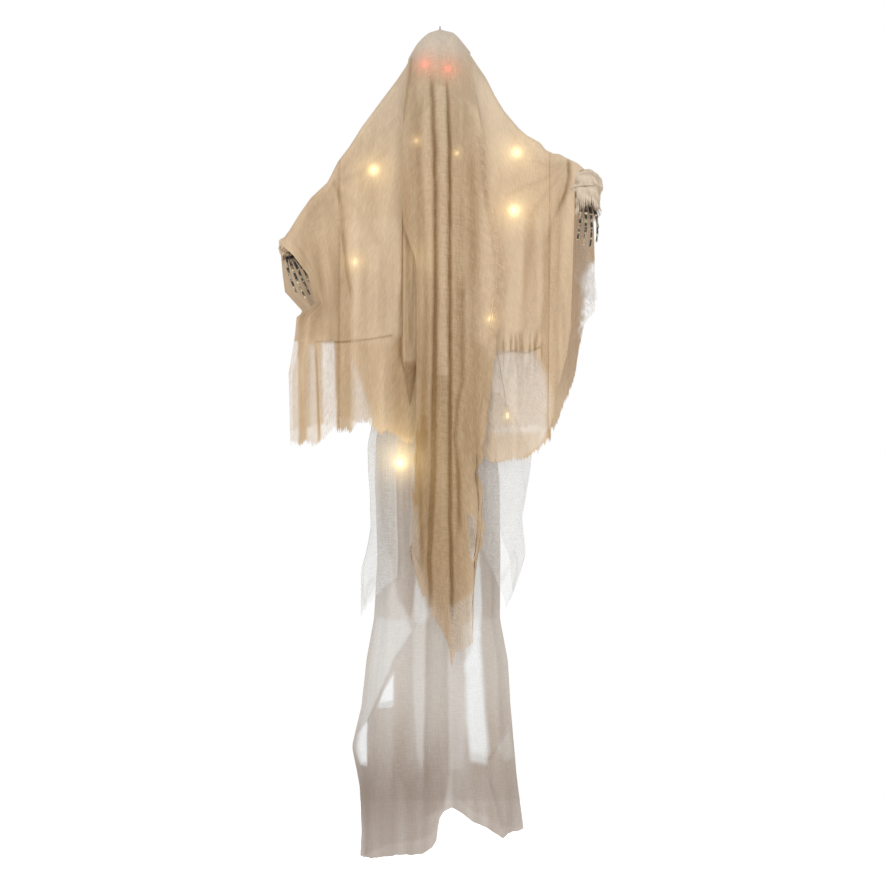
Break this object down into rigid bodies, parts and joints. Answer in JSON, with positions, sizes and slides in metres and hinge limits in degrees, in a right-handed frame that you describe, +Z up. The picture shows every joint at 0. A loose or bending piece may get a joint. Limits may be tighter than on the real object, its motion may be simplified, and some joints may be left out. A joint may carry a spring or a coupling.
{
  "type": "hanging light-up ghost figure",
  "caption": "Tall hanging light-up ghost in layered gauze over a plastic head and posable arms with skeleton hands, red lit eyes and warm lights inside.",
  "frame": {"origin": "centre of the hanging eye's hole at the crown", "axes": "+Z up, -Y to the front where the eyes look, +X to the viewer's right and along the hanging eye's hole"},
  "size_m": [0.8015, 0.4609, 2.144],
  "materials": {
    "steel": "satin zinc plating",
    "black_plastic": "matt moulded",
    "red_lens": "clear red, lit",
    "arm_plastic": "matt extruded tube",
    "bone_plastic": "bone colour with black rubbed into the joints",
    "tan_gauze": "open weave, creased",
    "cell": "printed sleeve",
    "contact": "plated",
    "board": "green laminate",
    "wire": "thin wire in a clear cover",
    "warm_lens": "frosted, lit warm white",
    "white_gauze": "very sheer open weave"
  },
  "bodies": {
    "frame": {"hanging_eye": "steel", "crown_washer": "steel", "head_front": "black_plastic", "head_rear": "black_plastic", "head_screws": "steel", "eye_bezels": "black_plastic", "eye_lamps": "red_lens", "neck_plug": "black_plastic", "neck_nut": "steel", "shoulder_block": "black_plastic", "spine_tube": "arm_plastic", "left_yoke": "arm_plastic", "right_yoke": "arm_plastic", "yoke_screws": "steel", "left_shoulder_bolt": "steel", "right_shoulder_bolt": "steel", "hoop_hub": "black_plastic", "robe_hoop": "steel", "battery_case": "black_plastic", "battery_cells": "cell", "battery_contacts": "contact", "circuit_board": "board", "eye_harness": "wire", "left_light_string": "wire", "right_light_string": "wire", "robe_light_string": "wire", "left_bulbs": "warm_lens", "right_bulbs": "warm_lens", "robe_bulbs": "warm_lens", "robe": "white_gauze", "left_flap": "white_gauze", "right_flap": "white_gauze", "left_cape": "tan_gauze", "right_cape": "tan_gauze", "veil": "tan_gauze", "torn_strip": "tan_gauze"},
    "left_upper_arm": {"left_upper_arm": "arm_plastic", "left_elbow_bolt": "steel", "left_sleeve": "tan_gauze"},
    "left_forearm": {"left_forearm": "arm_plastic", "left_wrist_bolt": "steel"},
    "left_hand": {"left_hand": "bone_plastic", "left_cuff": "tan_gauze"},
    "right_upper_arm": {"right_upper_arm": "arm_plastic", "right_elbow_bolt": "steel", "right_sleeve": "tan_gauze"},
    "right_forearm": {"right_forearm": "arm_plastic", "right_wrist_bolt": "steel", "right_lining": "white_gauze"},
    "right_hand": {"right_hand": "bone_plastic", "right_cuff": "tan_gauze"},
    "battery_door": {"battery_door": "black_plastic", "door_screw": "steel"},
    "power_switch": {"switch_knob": "black_plastic"}
  },
  "joints": [
    {"name": "left_shoulder", "type": "hinge", "parent": "frame", "child": "left_upper_arm", "pos_m": [-0.095, 0, -0.222], "axis": [0.4226, -0.9063, 0], "range_deg": [-30, 15], "deforming": ["left_cape", "left_light_string"]},
    {"name": "left_elbow", "type": "hinge", "parent": "left_upper_arm", "child": "left_forearm", "pos_m": [-0.26205, -0.0779, -0.3909], "axis": [0.4226, -0.9063, 0], "range_deg": [-40, 10], "deforming": ["left_sleeve"]},
    {"name": "left_wrist", "type": "hinge", "parent": "left_forearm", "child": "left_hand", "pos_m": [-0.39038, -0.13774, -0.57214], "axis": [-0.0273, -0.9433, 0.3308], "range_deg": [-20, 20]},
    {"name": "right_shoulder", "type": "hinge", "parent": "frame", "child": "right_upper_arm", "pos_m": [0.095, 0, -0.222], "axis": [0.3746, 0.9272, 0], "range_deg": [-30, 15], "deforming": ["right_cape", "right_light_string"]},
    {"name": "right_elbow", "type": "hinge", "parent": "right_upper_arm", "child": "right_forearm", "pos_m": [0.29157, -0.07942, -0.35448], "axis": [-0.4913, 0.1985, -0.848], "range_deg": [-30, 20], "deforming": ["right_sleeve"]},
    {"name": "right_wrist", "type": "hinge", "parent": "right_forearm", "child": "right_hand", "pos_m": [0.36181, -0.28012, -0.44215], "axis": [0.9182, 0.3759, -0.1249], "range_deg": [-20, 20]},
    {"name": "battery_door_hinge", "type": "hinge", "parent": "frame", "child": "battery_door", "pos_m": [0, 0.0373, -0.3731], "axis": [1, 0, 0], "range_deg": [0, 26]},
    {"name": "power_switch_slide", "type": "slide", "parent": "frame", "child": "power_switch", "axis": [1, 0, 0], "range_m": [0, 0.004]}
  ]
}
